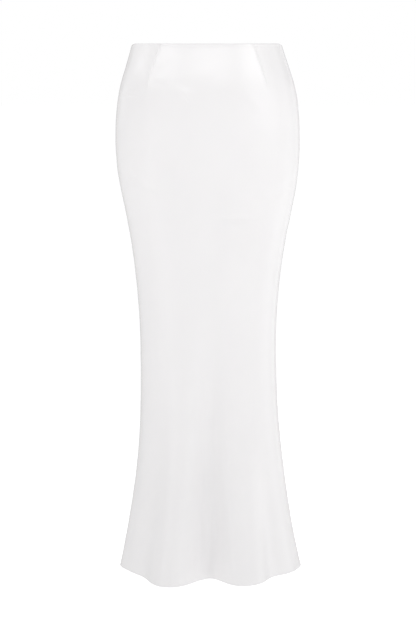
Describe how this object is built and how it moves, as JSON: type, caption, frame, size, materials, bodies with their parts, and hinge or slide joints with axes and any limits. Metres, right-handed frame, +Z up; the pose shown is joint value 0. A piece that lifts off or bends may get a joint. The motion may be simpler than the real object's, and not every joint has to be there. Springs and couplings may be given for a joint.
{
  "type": "bias-cut maxi skirt",
  "caption": "Long bias-cut satin skirt: darted at a clean turned waist, close over the hips, slim to the knee, fluted at a narrow hem, concealed zip at the centre back.",
  "frame": {"origin": "centre of the waist opening, level with the front waist edge, where the wearer's waist holds the skirt", "axes": "+Z up, the front faces -Y, and the wearer's left side is +X"},
  "size_m": [0.3539, 0.3062, 1],
  "materials": {
    "satin": "white bias-cut satin with a soft sheen",
    "zip_tape_weave": "matt woven white tape",
    "lacquered_metal": "white lacquer"
  },
  "bodies": {
    "skirt": {"front_panel": "satin", "back_left_panel": "satin", "back_right_panel": "satin", "zip_tape": "zip_tape_weave", "zip_slider": "lacquered_metal"},
    "pull": {"zip_pull": "lacquered_metal"}
  },
  "joints": [
    {"name": "zip_pull_hinge", "type": "hinge", "parent": "skirt", "child": "pull", "pos_m": [0, 0.11185, -0.02442], "axis": [1, 0, 0], "range_deg": [0, 175]}
  ]
}
